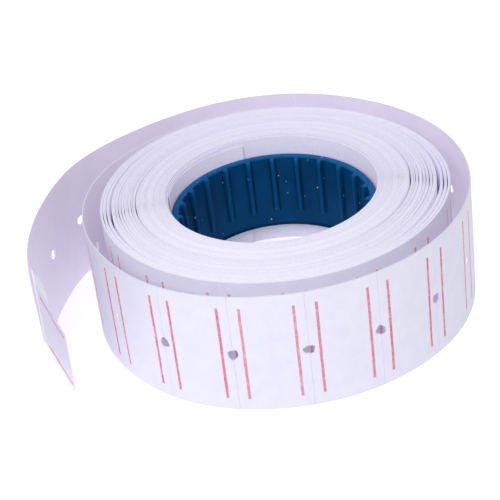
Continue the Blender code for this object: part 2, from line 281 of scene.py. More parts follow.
def flat_pattern(outline, holes, xs, ys, clear=0.33):
    """Triangles of a flat pattern: an outline, holes in it and grid points inside."""
    gx, gy = np.meshgrid(xs, ys, indexing="ij")
    grid = np.column_stack([gx.ravel(), gy.ravel()])
    keep = in_polygon(grid, outline)
    for loop in [outline] + list(holes):
        keep &= ~near_loop(grid, loop, clear)
    for hole in holes:
        keep &= ~in_polygon(grid, hole)
    points, edges = [], []
    for loop in [outline] + list(holes):
        first = len(points)
        points += [tuple(p) for p in loop]
        edges += [(first + i, first + (i + 1) % len(loop)) for i in range(len(loop))]
    points += [tuple(p) for p in grid[keep]]
    made = delaunay_2d_cdt([Vector(p) for p in points], edges, [], 0, 1e-5, False)
    flat = np.array([tuple(v) for v in made[0]], float)
    faces = np.array([f for f in made[2] if len(f) == 3], int)
    a, b, c = flat[faces[:, 0]], flat[faces[:, 1]], flat[faces[:, 2]]
    area = ((b - a)[:, 0] * (c - a)[:, 1] - (b - a)[:, 1] * (c - a)[:, 0]) / 2
    middle = (a + b + c) / 3
    good = (np.abs(area) > 1e-7) & in_polygon(middle, outline)
    for hole in holes:
        good &= ~in_polygon(middle, hole)
    faces, area = faces[good], area[good]
    faces[area < 0] = faces[area < 0][:, ::-1]
    used = np.unique(faces)
    index = -np.ones(len(flat), int)
    index[used] = np.arange(len(used))
    return flat[used], index[faces]


def slab(flat, faces, place, normal, face_in, face_out):
    """A closed sheet of paper from a flat pattern. Returns its points, faces and
    corner normals, and for each point the pattern's point and 1 on the outer face."""
    n = len(flat)
    outer, inner = place(flat, face_out), place(flat, face_in)
    points = np.concatenate([outer, inner])
    up = normal(flat)
    polys = [tuple(f) for f in faces] + [tuple(f[::-1] + n) for f in faces]
    normals = [up[i] for f in faces for i in f] + [-up[i] for f in faces for i in f[::-1]]
    count = {}
    for f in faces:
        for i in range(3):
            e = (int(f[i]), int(f[(i + 1) % 3]))
            count[e] = True
    rim = [e for e in count if (e[1], e[0]) not in count]
    side = {}
    for a, b in rim:
        edge = points[b] - points[a]
        out = unit(np.cross(edge, up[a] + up[b]))
        side[(a, b)] = out
    start = {a: out for (a, b), out in side.items()}
    end = {b: out for (a, b), out in side.items()}
    for a, b in rim:
        polys.append((a, a + n, b + n, b))
        here = side[(a, b)]
        na = unit(here + end[a]) if a in end and float(here @ end[a]) > 0.75 else here
        nb = unit(here + start[b]) if b in start and float(here @ start[b]) > 0.75 else here
        normals += [na, na, nb, nb]
    pattern = np.concatenate([flat, flat])
    outer_flag = np.concatenate([np.ones(n), np.zeros(n)])
    return points, polys, normals, pattern, outer_flag


def join_slabs(slabs):
    points, polys, normals, first = [], [], [], 0
    for p, f, nr in slabs:
        points.append(p)
        polys += [tuple(int(i) + first for i in q) for q in f]
        normals += list(nr)
        first += len(p)
    return np.concatenate(points), polys, normals


def mesh_object(name, points, polys, material, body, nodes=(), normals=None, sheet=None,
                sharp=None, ride=True):
    mesh = bpy.data.meshes.new(name)
    mesh.from_pydata([tuple(p) for p in (np.asarray(points) + AXIS) * MM], [], [tuple(int(i) for i in f) for f in polys])
    mesh.update()
    if sheet is not None:
        made = mesh.attributes.new("sheet", "FLOAT_VECTOR", "POINT")
        made.data.foreach_set("vector", np.asarray(sheet, np.float32).ravel())
    mesh.shade_smooth()
    if normals is not None:
        mesh.normals_split_custom_set([tuple(v) for v in normals])
    elif sharp is not None:
        mesh.set_sharp_from_angle(angle=math.radians(sharp))
    mesh.materials.append(material)
    obj = bpy.data.objects.new(name, mesh)
    bpy.context.scene.collection.objects.link(obj)
    if ride:
        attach(obj, body)
    if nodes:
        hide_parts(*nodes)
    return obj


# ---------------------------------------------------------------------- materials
class Nodes:
    """Short calls for building one material's node tree."""

    def __init__(self, name):
        self.mat = bpy.data.materials.new(name)
        self.mat.use_nodes = True
        self.tree = self.mat.node_tree
        self.shader = self.tree.nodes["Principled BSDF"]
        self.coords = self.add("ShaderNodeTexCoord").outputs["Object"]

    def add(self, kind, **settings):
        node = self.tree.nodes.new(kind)
        for key, value in settings.items():
            setattr(node, key, value)
        return node

    def link(self, a, b):
        self.tree.links.new(a, b)

    def put(self, socket, value):
        if isinstance(value, bpy.types.NodeSocket):
            self.link(value, socket)
        else:
            socket.default_value = value

    def noise(self, scale, detail=3.0, rough=0.55, stretch=None, dimensions="3D"):
        vector = self.coords
        if stretch is not None:
            mapping = self.add("ShaderNodeMapping")
            mapping.inputs["Scale"].default_value = stretch
            self.link(self.coords, mapping.inputs["Vector"])
            vector = mapping.outputs["Vector"]
        node = self.add("ShaderNodeTexNoise", noise_dimensions=dimensions)
        node.inputs["Scale"].default_value = scale
        node.inputs["Detail"].default_value = detail
        node.inputs["Roughness"].default_value = rough
        self.link(vector, node.inputs["Vector"])
        return node.outputs["Fac"]

    def math(self, operation, a, b=0.0, c=0.0):
        node = self.add("ShaderNodeMath", operation=operation)
        for socket, value in zip(node.inputs, (a, b, c)):
            self.put(socket, value)
        return node.outputs[0]

    def ramp(self, value, low, high, to_low=0.0, to_high=1.0, kind="SMOOTHSTEP"):
        node = self.add("ShaderNodeMapRange", interpolation_type=kind)
        for key, v in (("Value", value), ("From Min", low), ("From Max", high), ("To Min", to_low), ("To Max", to_high)):
            self.put(node.inputs[key], v)
        return node.outputs["Result"]

    def mix(self, factor, a, b, blend="MIX"):
        node = self.add("ShaderNodeMix", data_type="RGBA", blend_type=blend)
        self.put(node.inputs[0], factor)
        self.put(node.inputs[6], a)
        self.put(node.inputs[7], b)
        return node.outputs[2]

    def attribute(self, name):
        node = self.add("ShaderNodeAttribute", attribute_name=name)
        split = self.add("ShaderNodeSeparateXYZ")
        self.link(node.outputs["Vector"], split.inputs[0])
        return split.outputs

    def painted_glow(self, colour, strength):
        """Painted glow: an emission that stands in for the light thin paper lets through from its other side."""
        self.shader.inputs["Emission Color"].default_value = colour
        self.shader.inputs["Emission Strength"].default_value = strength

    def bump(self, height, strength, distance):
        node = self.add("ShaderNodeBump")
        node.inputs["Strength"].default_value = strength
        node.inputs["Distance"].default_value = distance
        self.link(height, node.inputs["Height"])
        self.link(node.outputs["Normal"], self.shader.inputs["Normal"])


def rgb(r, g, b):
    return (r, g, b, 1.0)


def label_paper(name, printed=True, glow=0.0):
    n = Nodes(name)
    if glow:
        # painted glow: emission that lightens this paper as if lit through from behind
        n.painted_glow(rgb(0.86, 0.84, 0.88), glow)
    mottle = n.noise(420, 3)
    fibre = n.noise(3600, 4, 0.6)
    base = n.mix(n.ramp(mottle, 0.3, 0.7), rgb(0.700, 0.692, 0.800), rgb(0.728, 0.720, 0.828))
    base = n.mix(n.ramp(fibre, 0.35, 0.75, 0.0, 0.22), base, rgb(0.80, 0.79, 0.90))
    rough = n.ramp(fibre, 0.3, 0.7, 0.44, 0.58)
    height = fibre
    if printed:
        x, w, face = n.attribute("sheet")
        wander = n.math("MULTIPLY", n.math("SUBTRACT", n.noise(1500, 4, 0.7), 0.5), 0.16)
        slow = n.math("MULTIPLY", n.math("SUBTRACT", n.noise(170, 1), 0.5), 0.12)
        across = n.math("ADD", x, slow)
        d = n.math("MINIMUM", n.math("ABSOLUTE", n.math("SUBTRACT", across, RULE_IN)),
                   n.math("ABSOLUTE", n.math("SUBTRACT", across, LABEL_PITCH - RULE_IN)))
        d = n.math("ADD", d, wander)
        body = n.ramp(d, 0.19, 0.27, 1.0, 0.0)
        up = n.math("ADD", w, n.math("MULTIPLY", wander, 1.2))
        ends = n.math("MULTIPLY", n.ramp(up, RULE_LOW - 0.05, RULE_LOW + 0.08),
                      n.ramp(up, RULE_HIGH - 0.08, RULE_HIGH + 0.05, 1.0, 0.0))
        grain = n.ramp(n.noise(4200, 2, 0.7), 0.36, 0.50, 0.55, 1.0)
        worn = n.ramp(n.noise(520, 2), 0.30, 0.50, 0.78, 1.0)
        ink = n.math("MULTIPLY", n.math("MULTIPLY", body, ends), n.math("MULTIPLY", grain, worn))
        ink = n.math("MULTIPLY", ink, n.ramp(face, 0.45, 1.0, 0.0, 1.0, "LINEAR"))
        base = n.mix(ink, base, rgb(0.60, 0.018, 0.050))
        rough = n.math("SUBTRACT", rough, n.math("MULTIPLY", ink, 0.12))
        height = n.math("ADD", fibre, n.math("MULTIPLY", ink, 0.5))
    n.link(base, n.shader.inputs["Base Color"])
    n.link(rough, n.shader.inputs["Roughness"])
    n.shader.inputs["Specular IOR Level"].default_value = 0.3
    n.bump(height, 0.12, 0.00003)
    return n.mat


def liner_paper():
    n = Nodes("liner_paper")
    mottle = n.noise(160, 4, 0.6)
    streak = n.noise(900, 3, 0.6, stretch=(1, 1, 0.12))
    fibre = n.noise(5200, 3)
    base = n.mix(n.ramp(mottle, 0.3, 0.7), rgb(0.68, 0.635, 0.77), rgb(0.73, 0.69, 0.81))
    base = n.mix(n.ramp(streak, 0.35, 0.7, 0.0, 0.3), base, rgb(0.74, 0.70, 0.86))
    base = n.mix(n.ramp(fibre, 0.55, 0.75, 0.0, 0.25), base, rgb(0.80, 0.77, 0.90))
    n.link(base, n.shader.inputs["Base Color"])
    n.link(n.ramp(mottle, 0.3, 0.7, 0.30, 0.44), n.shader.inputs["Roughness"])
    n.shader.inputs["Specular IOR Level"].default_value = 0.35
    # painted glow: emission that lightens the liner in its shaded gaps and behind its holes
    n.painted_glow(rgb(0.76, 0.71, 0.80), 0.19)
    n.bump(n.math("ADD", fibre, n.math("MULTIPLY", streak, 0.7)), 0.10, 0.00003)
    return n.mat


def layer_edges():
    n = Nodes("cut_paper_edges")
    x, tone, top = n.attribute("sheet")
    fibre = n.noise(2600, 4, 0.65)
    fleck = n.noise(7000, 2)
    two = n.mix(n.ramp(x, 0.38, 0.5), rgb(0.83, 0.80, 0.97), rgb(0.92, 0.905, 1.0))
    shade = n.math("ADD", n.math("MULTIPLY", tone, 0.09), n.ramp(fibre, 0.3, 0.7, 0.91, 0.98))
    dark = n.mix(1.0, two, n.add("ShaderNodeCombineColor").outputs[0], "MULTIPLY")
    combine = dark.node.inputs[7].links[0].from_node
    for i in range(3):
        n.link(shade, combine.inputs[i])
    base = n.mix(n.ramp(fleck, 0.60, 0.72, 0.0, 0.35), dark, rgb(0.93, 0.92, 0.98))
    n.link(base, n.shader.inputs["Base Color"])
    n.link(n.ramp(fibre, 0.3, 0.7, 0.6, 0.8), n.shader.inputs["Roughness"])
    n.shader.inputs["Specular IOR Level"].default_value = 0.3
    n.bump(n.math("ADD", fibre, fleck), 0.25, 0.00004)
    return n.mat


def core_plastic():
    n = Nodes("moulded_blue_plastic")
    cloud = n.noise(140, 3)
    orange = n.noise(2600, 2)
    drag = n.noise(700, 3, 0.6, stretch=(1, 1, 0.05))
    base = n.mix(n.ramp(cloud, 0.3, 0.7), rgb(0.0, 0.044, 0.135), rgb(0.0, 0.060, 0.180))
    base = n.mix(n.ramp(drag, 0.55, 0.8, 0.0, 0.35), base, rgb(0.004, 0.08, 0.24))
    rim, face, low = n.attribute("sheet")
    # painted highlight: the rim, its rounded edges and the rib tops are lighter, broken up by noise
    rim_highlight = n.math("MULTIPLY", rim, n.ramp(n.noise(900, 4, 0.7), 0.25, 0.6, 0.55, 1.0))
    base = n.mix(n.math("MULTIPLY", rim_highlight, 0.80), base, rgb(0.012, 0.135, 0.36))
    # painted light: the rib faces are lighter blue
    base = n.mix(n.math("MULTIPLY", face, 0.55), base, rgb(0.0, 0.085, 0.26))
    # painted shade beside the ribs, and darker along the bottom lip
    base = n.mix(n.math("MULTIPLY", low, 0.8), base, rgb(0.0, 0.020, 0.062))
    # paper dust: small pale specks, in some cells only
    cells = n.add("ShaderNodeTexVoronoi", feature="F1")
    cells.inputs["Scale"].default_value = 900
    cells.inputs["Randomness"].default_value = 1.0
    warp = n.add("ShaderNodeVectorMath", operation="ADD")
    jitter = n.add("ShaderNodeTexNoise")
    jitter.inputs["Scale"].default_value = 3000
    n.link(n.coords, jitter.inputs["Vector"])
    small = n.add("ShaderNodeVectorMath", operation="SCALE")
    small.inputs["Scale"].default_value = 0.00028
    n.link(jitter.outputs["Color"], small.inputs[0])
    n.link(n.coords, warp.inputs[0])
    n.link(small.outputs[0], warp.inputs[1])
    n.link(warp.outputs[0], cells.inputs["Vector"])
    pick = n.add("ShaderNodeSeparateColor")
    n.link(cells.outputs["Color"], pick.inputs[0])
    chosen = n.ramp(pick.outputs[0], 0.70, 0.74)
    size = n.ramp(pick.outputs[1], 0.0, 1.0, 0.06, 0.15, "LINEAR")
    speck = n.math("LESS_THAN", cells.outputs["Distance"], size)
    speck = n.math("MULTIPLY", n.math("MULTIPLY", speck, chosen), n.ramp(pick.outputs[2], 0.0, 1.0, 0.25, 0.8, "LINEAR"))
    base = n.mix(speck, base, rgb(0.62, 0.66, 0.70))
    n.link(base, n.shader.inputs["Base Color"])
    rough = n.math("ADD", n.ramp(cloud, 0.3, 0.7, 0.40, 0.52), n.math("MULTIPLY", speck, 0.35))
    n.link(rough, n.shader.inputs["Roughness"])
    n.shader.inputs["Specular IOR Level"].default_value = 0.05
    n.bump(n.math("ADD", n.math("MULTIPLY", orange, 0.6), n.math("ADD", drag, n.math("MULTIPLY", speck, 1.5))),
           0.16, 0.00004)
    return n.mat


def floor_material():
    n = Nodes("studio_floor")
    cloud = n.noise(3.0, 2)
    base = n.mix(n.ramp(cloud, 0.3, 0.7), rgb(0.90, 0.90, 0.905), rgb(0.915, 0.915, 0.92))
    n.link(base, n.shader.inputs["Base Color"])
    n.shader.inputs["Roughness"].default_value = 0.9
    n.shader.inputs["Specular IOR Level"].default_value = 0.1
    n.shader.inputs["Emission Color"].default_value = rgb(1, 1, 1)
    n.shader.inputs["Emission Strength"].default_value = 0.42
    return n.mat


MAT_LABEL = label_paper("label_paper_printed")
# painted glow (emission) on the wound, folded-end and remnant papers
MAT_LABEL_WOUND = label_paper("label_paper_wound", glow=0.08)
MAT_LABEL_END = label_paper("label_paper_end", glow=0.14)
MAT_PLAIN = label_paper("label_paper_plain", printed=False)
MAT_REMNANT = label_paper("label_paper_remnant", printed=False, glow=0.24)
MAT_LINER = liner_paper()
MAT_EDGES = layer_edges()
MAT_CORE = core_plastic()


# ------------------------------------------------------------------------- the web
web = Web()
slits = [FIRST_SLIT + LABEL_PITCH * i for i in range(22)]
end_pitch = (web.length - 1.3 - slits[-1]) / 2
slits += [slits[-1] + end_pitch, slits[-1] + 2 * end_pitch]
hinges = [slits[i] for i in HINGE_SLITS]
# on the wound layer the slits fall a little further back than a plain 12 mm count
early = [FIRST_SLIT - LABEL_PITCH * i - (0.3 * (i - 1) if i < 7 else 1.8) for i in range(1, 40)]
early = [s for s in early if s > web.outer_from + 1.5][::-1]


def torn_circle(seed, scale=1.0, count=44):
    """A feed hole as the punch leaves it: not round, with a ragged edge."""
    rng = np.random.RandomState(1000 + seed)
    a = np.arange(count) * 2 * math.pi / count
    r = np.ones(count) * rng.uniform(0.90, 1.04)
    for k, size in ((2, 0.15), (3, 0.09), (4, 0.06), (5, 0.05), (7, 0.045), (11, 0.03)):
        r += size * rng.uniform(0.4, 1.0) * np.cos(k * a + rng.uniform(0, 2 * math.pi))
    shift = rng.uniform(-0.12, 0.12, 2) * [0.5, 1.0]
    return np.column_stack([np.cos(a) * r, np.sin(a) * r]) * HOLE_R * scale + shift


def notch(seed, x, side, scale=1.0, gap=HALF_SLIT):
    """The half of a feed hole that lies on this side of the line x, from its
    lower end to its upper end when side is 1, and downwards when side is -1."""
    loop = torn_circle(seed, scale)
    loop[:, 1] += MID
    half = loop[loop[:, 0] * side > gap + 0.05]
    order = np.argsort(np.arctan2(half[:, 1] - MID, np.abs(half[:, 0])))
    half = half[order]
    ends = [np.array([side * gap, half[0, 1] - 0.10]), np.array([side * gap, half[-1, 1] + 0.10])]
    path = np.concatenate([[ends[0]], half, [ends[1]]])
    path[:, 0] += x
    return path if side > 0 else path[::-1]


def hinge_gap(x, still, bending):
    """Half the gap at a slit: wider where the tail bends, so that its neighbours clear each other."""
    return bending if any(abs(x - h) < 0.1 for h in hinges) else still


def strip_outline(x0, x1, low, high, seed0=None, seed1=None, scale=1.0, gap=HALF_SLIT, bending=0.036):
    """Outline of a strip between two slits, counter-clockwise, with half a feed
    hole at each end that has a seed."""
    gap0, gap1 = hinge_gap(x0, gap, bending), hinge_gap(x1, gap, bending)
    a = x0 + (gap0 if seed0 is not None else 0.0)
    b = x1 - (gap1 if seed1 is not None else 0.0)
    lines = [(a, low), (b, low)]
    if seed1 is not None:
        up = notch(seed1, x1, -1, scale, gap1)[::-1]
        lines += [tuple(p) for p in up]
    lines += [(b, high), (a, high)]
    if seed0 is not None:
        down = notch(seed0, x0, 1, scale, gap0)[::-1]
        lines += [tuple(p) for p in down]
    return densify(lines, 1.0)


def columns(x0, x1, step=1.0):
    n = max(1, int(round((x1 - x0) / step)))
    return np.linspace(x0, x1, n + 1)[1:-1] if n > 1 else np.array([(x0 + x1) / 2])


ROWS = np.array([0.7, 2.2, 4.2, 6.4, 8.4, 9.6, 10.75, 11.9, 13.1, 15.1, 17.3, 19.3, 20.8])


def web_slab(outline, holes, x0, x1, face_in, face_out):
    flat, faces = flat_pattern(outline, holes, columns(x0, x1), ROWS)
    return slab(flat, faces, lambda p, f: web.place(p[:, 0], p[:, 1], f),
                lambda p: web.normal(p[:, 0], p[:, 1]), face_in, face_out)


def label_coords(pattern, outer, s0, s1, strength):
    """What the label's material reads: mm from its slit, mm up, ink on its face."""
    s = pattern[:, 0]
    half = (s0 + s1) / 2
    x = np.where(s < half, s - s0, LABEL_PITCH - (s1 - s))
    return np.column_stack([x, pattern[:, 1], outer * strength])


def hole_seed(s):
    return int(round((s - FIRST_SLIT) / LABEL_PITCH)) if s < 256 else (22 if s < 270 else 23)


def make_labels():
    rng = np.random.RandomState(7)
    # labels on the loose turn and the tail, each its own piece
    edges = [0.0] + slits
    spans = list(zip(["roll"] + [f"tail_link_{i}" for i in (1, 2, 3, 4)], [-1e9] + hinges, hinges + [1e9]))
    for i, (s0, s1) in enumerate(zip(edges, edges[1:])):
        body = next(b for b, a, c in spans if a <= (s0 + s1) / 2 < c)
        start = s0 if i else FIRST_SLIT - LABEL_PITCH
        outline = strip_outline(start, s1, EDGE_INSET, WEB_WIDTH - EDGE_INSET, hole_seed(start), hole_seed(s1))
        made = web_slab(outline, [], start, s1, LABEL_IN, LABEL_OUT)
        sheet = label_coords(made[3], made[4], start, s1, rng.uniform(0.82, 1.0))
        mesh_object(f"price_label_{i + 1:02d}", made[0], made[1], MAT_LABEL, body, [f"label_{i + 1:02d}"],
                    made[2], sheet)
    # labels on the roll's outermost wound layer, as one piece
    parts, sheets = [], []
    marks = [web.outer_from] + early
    for j, (s0, s1) in enumerate(zip(marks, marks[1:])):
        seed0 = hole_seed(s0) + 500 if j else None
        if s1 > FIRST_SLIT - LABEL_PITCH + 0.01:
            break
        outline = strip_outline(s0, s1, EDGE_INSET, WEB_WIDTH - EDGE_INSET, seed0, hole_seed(s1) + 500
                                if s1 < FIRST_SLIT - LABEL_PITCH - 0.01 else hole_seed(s1))
        made = web_slab(outline, [], s0, s1, LABEL_IN, LABEL_OUT)
        parts.append(made[:3])
        sheet = label_coords(made[3], made[4], s0 if j else s1 - LABEL_PITCH, s1, rng.uniform(0.8, 1.0))
        # rubbed away where only the loose turn's holes look at it
        sheet[:, 2] *= smooth((np.abs(sheet[:, 1] - MID) - 1.4) / 1.0)
        sheets.append(sheet)
    points, polys, normals = join_slabs(parts)
    mesh_object("wound_outer_labels", points, polys, MAT_LABEL_WOUND, "roll", ["sprung_turn_4"], normals,
                np.concatenate(sheets))


def hole_loop(s, scale=1.0, extra=0):
    loop = torn_circle(hole_seed(s) + extra, scale)
    return loop + [s, MID]


def make_liners():
    # wound outer layer and loose turn: one strip up to the first tail hinge
    s0, s1 = web.outer_from, hinges[0]
    wound = [s for s in early if s < FIRST_SLIT - LABEL_PITCH - 0.01]
    holes = [hole_loop(s, 0.97, 500) for s in wound]
    holes += [hole_loop(s, 0.97) for s in early[len(wound):] + slits if s < s1 - 1]
    outline = strip_outline(s0, s1, 0.0, WEB_WIDTH, None, hole_seed(s1), 0.97, 0.004, 0.020)
    made = web_slab(outline, holes, s0, s1, LINER_IN, LINER_OUT)
    mesh_object("loose_liner", made[0], made[1], MAT_LINER, "roll", ["loose_turn_liner"], made[2],
                np.column_stack([made[3], made[4]]))
    ends = hinges + [web.length - FLAP_CLEAR]
    for i, (s0, s1) in enumerate(zip(ends, ends[1:])):
        last = i == 3
        holes = [hole_loop(s, 0.97) for s in slits if s0 + 1 < s < s1 - (1 if not last else 0.9)]
        outline = strip_outline(s0, s1, 0.0, WEB_WIDTH, hole_seed(s0), None if last else hole_seed(s1), 0.97, 0.004, 0.020)
        made = web_slab(outline, holes, s0, s1, LINER_IN, LINER_OUT)
        mesh_object(f"tail_liner_sheet_{i + 1}", made[0], made[1], MAT_LINER, f"tail_link_{i + 1}",
                    [f"tail_liner_{i + 1}"], made[2], np.column_stack([made[3], made[4]]))


# --------------------------------------------------------------- the folded-back end
ACROSS = unit(FOLD_TOP - FOLD_BOTTOM)
ALONG = unit(FLAP_ALONG - ACROSS * float(FLAP_ALONG @ ACROSS))
FLAP_OUT = unit(np.cross(ALONG, ACROSS))
FLAP_FACE = 0.21  # from the fold's plane to where the flap's liner meets its label


def flap_place(p, face):
    """Points of the flap: d from the fold, w up it, and face towards its label side."""
    d, w = p[:, 0], p[:, 1]
    curl = 0.10 * smooth((d - 1.5) / 16) * (d / 12) + 0.04 * np.sin(w / 3.1 + d / 4) * smooth(d / 9)
    torn = 0.06 * np.sin(w * 2.3) * smooth((d - 11) / 2.5)
    lift = FLAP_FACE + face + curl + torn
    return FOLD_BOTTOM + np.outer(w, ACROSS) + np.outer(d, ALONG) + np.outer(lift, FLAP_OUT)


def flap_normal(p):
    e = 0.1
    along = flap_place(p + [e, 0], 0.0) - flap_place(p - [e, 0], 0.0)
    across = flap_place(p + [0, e], 0.0) - flap_place(p - [0, e], 0.0)
    return unit(np.cross(along, across))


def torn_reach(w):
    f = np.clip((w - TORN_FROM) / (WEB_WIDTH - TORN_FROM), 0, 1)
    return FLAP_TORN + 0.8 * (1 - f) * np.cos(3.1 * f) - 0.35 * np.sin(9 * f) + 0.15 * np.sin(23 * f)


def torn_line(seed, back=0.0, rag=0.11, low=11.75):
    """Points up the torn edge, with paper's fine ragged outline."""
    rng = np.random.RandomState(seed)
    ws = np.arange(low, WEB_WIDTH - 0.02, 0.17)
    rough = rng.normal(0, 1, len(ws))
    slow = np.convolve(rng.normal(0, 1, len(ws) + 8), np.ones(9) / 3, "valid")
    reach = torn_reach(ws) - back + rag * (0.55 * rough + 0.6 * slow)
    reach = np.minimum(reach, torn_reach(ws) + 0.15)
    return np.column_stack([reach, ws])


def flap_outline(label):
    top = WEB_WIDTH - (EDGE_INSET if label else 0.0)
    low = EDGE_INSET if label else 0.0
    end = FLAP_SLIT - (0.03 if label else 0.0)
    half = torn_circle(77, 1.0 if label else 0.97)
    half = half[half[:, 0] < -0.03]
    half = half[np.argsort(half[:, 1])] + [FLAP_SLIT, MID]
    points = [(FLAP_CLEAR, low), (end, low)] + [tuple(p) for p in half]
    if label:
        points += [(end, half[-1, 1] + 0.12), (end, top)]
    else:
        points += [(FLAP_SLIT + 0.05, half[-1, 1] + 0.10), (FLAP_SLIT + 0.9, half[-1, 1] + 0.02),
                   (FLAP_SLIT + 1.7, half[-1, 1] + 0.16)]
        tear = torn_line(5, low=half[-1, 1] + 0.3)
        points += [tuple(p) for p in tear] + [(tear[-1, 0] - 0.05, top)]
    points += [(FLAP_CLEAR, top)]
    return densify(points, 1.0)


def bezier_bend(p0, d0, p1, d1, count=9):
    """A half turn from p0, leaving along d0, to p1, arriving along -d1, per row."""
    r = np.linalg.norm(p1 - p0, axis=1, keepdims=True) / 2 * 4 / 3
    c0, c1 = p0 + d0 * r, p1 + d1 * r
    rows = []
    for t in np.linspace(0, 1, count):
        rows.append((1 - t) ** 3 * p0 + 3 * (1 - t) ** 2 * t * c0 + 3 * (1 - t) * t * t * c1 + t**3 * p1)
    return np.array(rows)  # count, rows, 3


def make_fold():
    """The bend itself: liner inside, label outside."""
    ws = np.linspace(0, WEB_WIDTH, 22)
    s_end = np.full(len(ws), web.length - FLAP_CLEAR)
    forward = unit(web.place(s_end, ws, 0.0) - web.place(s_end - 0.3, ws, 0.0))
    flap = np.column_stack([np.full(len(ws), FLAP_CLEAR), ws])
    back = np.tile(-ALONG, (len(ws), 1))

    def sheet_of(name, tail_out, tail_in, flap_out, flap_in, mat, xs=None, inset=0.0):
        w = np.clip(ws, inset, WEB_WIDTH - inset)
        fl = np.column_stack([flap[:, 0], w])
        out = bezier_bend(web.place(s_end, w, tail_out), forward, flap_place(fl, flap_out), back)
        inn = bezier_bend(web.place(s_end, w, tail_in), forward, flap_place(fl, flap_in), back)
        a, b = out.shape[:2]
        index = np.arange(a * b).reshape(a, b)
        points = np.concatenate([out.reshape(-1, 3), inn.reshape(-1, 3)])
        polys = []
        m = a * b
        for i in range(a - 1):
            for j in range(b - 1):
                q = (index[i, j], index[i + 1, j], index[i + 1, j + 1], index[i, j + 1])
                polys.append(q)
                polys.append(tuple(k + m for k in q[::-1]))
        loop = ([index[i, 0] for i in range(a)] + [index[a - 1, j] for j in range(1, b)]
                + [index[i, b - 1] for i in range(a - 2, -1, -1)] + [index[0, j] for j in range(b - 2, 0, -1)])
        for p, q in zip(loop, loop[1:] + loop[:1]):
            polys.append((q, p, p + m, q + m))
        t = np.repeat(np.linspace(0, 1, a), b)
        up = np.tile(w, a)
        x = 1.05 + 0.6 * t
        data = np.column_stack([np.tile(x, 2), np.tile(up, 2), np.concatenate([np.ones(m), np.zeros(m)]) * 0.9])
        obj = mesh_object(name, points, polys, mat, None, (), None, data, sharp=50, ride=False)
        return obj

    liner = sheet_of("fold_liner", LINER_OUT, LINER_IN, 0.0 - 0.0, 0.0 - 0.078, MAT_LINER)
    label = sheet_of("fold_label", LABEL_OUT, LABEL_IN, 0.098, 0.004, MAT_LABEL_END, inset=EDGE_INSET)
    middle = (FOLD_BOTTOM + FOLD_TOP) / 2 + AXIS + ALONG * FLAP_CLEAR
    start, end = (middle - FLAP_OUT * 0.02) * MM, (middle + FLAP_OUT * (FLAP_FACE + 0.05)) * MM
    for obj in (liner, label):
        tuple(start)
        tuple(end)
        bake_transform(obj)


def make_flap():
    xs = columns(FLAP_CLEAR, FLAP_TORN + 1.0, 0.9)
    flat, faces = flat_pattern(flap_outline(False), [], xs, ROWS, 0.22)
    made = slab(flat, faces, flap_place, flap_normal, -0.078, 0.0)
    mesh_object("folded_liner_sheet", made[0], made[1], MAT_LINER, "folded_end", ["folded_liner"], made[2],
                np.column_stack([made[3], made[4]]))

    flat, faces = flat_pattern(flap_outline(True), [], xs, ROWS, 0.22)
    made = slab(flat, faces, flap_place, flap_normal, 0.004, 0.098)
    sheet = np.column_stack([made[3][:, 0] + 1.40, made[3][:, 1], made[4] * 0.95])
    mesh_object("folded_price_label", made[0], made[1], MAT_LABEL_END, "folded_end", ["folded_label"], made[2],
                sheet)

    # what is left of the next label, torn off above the feed hole
    tear = torn_line(9, 0.22, 0.13, low=12.1)
    outline = [(FLAP_SLIT + 0.03, 11.95), (FLAP_SLIT + 1.2, 11.85)] + [tuple(p) for p in tear]
    outline += [(tear[-1, 0] - 0.1, WEB_WIDTH - EDGE_INSET), (FLAP_SLIT + 0.03, WEB_WIDTH - EDGE_INSET)]
    flat, faces = flat_pattern(densify(outline, 1.0), [], np.arange(11, 14, 0.8), ROWS, 0.2)
    made = slab(flat, faces, flap_place, flap_normal, 0.004, 0.09)
    mesh_object("torn_label_remnant", made[0], made[1], MAT_REMNANT, "folded_end", (), made[2],
                np.column_stack([made[3], made[4]]))

    # the start of the folded label, on the tail's own side of the fold
    s0, s1 = slits[-1], web.length - FLAP_CLEAR
    outline = strip_outline(s0, s1, EDGE_INSET, WEB_WIDTH - EDGE_INSET, None, None)
    outline[:, 0] = np.where(outline[:, 0] < s0 + 1e-6, s0 + HALF_SLIT, outline[:, 0])
    arc = notch(hole_seed(s0), s0, 1)
    arc = arc[arc[:, 0] < s1 - 0.12]
    lines = [(s0 + HALF_SLIT, EDGE_INSET), (s1, EDGE_INSET), (s1, WEB_WIDTH - EDGE_INSET),
             (s0 + HALF_SLIT, WEB_WIDTH - EDGE_INSET)] + [tuple(p) for p in arc[::-1]]
    flat, faces = flat_pattern(densify(lines, 1.0), [], np.array([(s0 + s1) / 2]), ROWS, 0.2)
    made = slab(flat, faces, lambda p, f: web.place(p[:, 0], p[:, 1], f), lambda p: web.normal(p[:, 0], p[:, 1]),
                LABEL_IN, LABEL_OUT)
    mesh_object("folded_label_start", made[0], made[1], MAT_PLAIN, "tail_link_4", (), made[2],
                np.column_stack([made[3], made[4]]))


# ---------------------------------------------------------------------- wound layers
def value_noise(x, seed, knots=4000):
    rng = np.random.RandomState(seed)
    table = rng.uniform(-1, 1, knots)
    i = np.floor(x).astype(int)
    f = smooth(x - i)
    return table[i % knots] * (1 - f) + table[(i + 1) % knots] * f


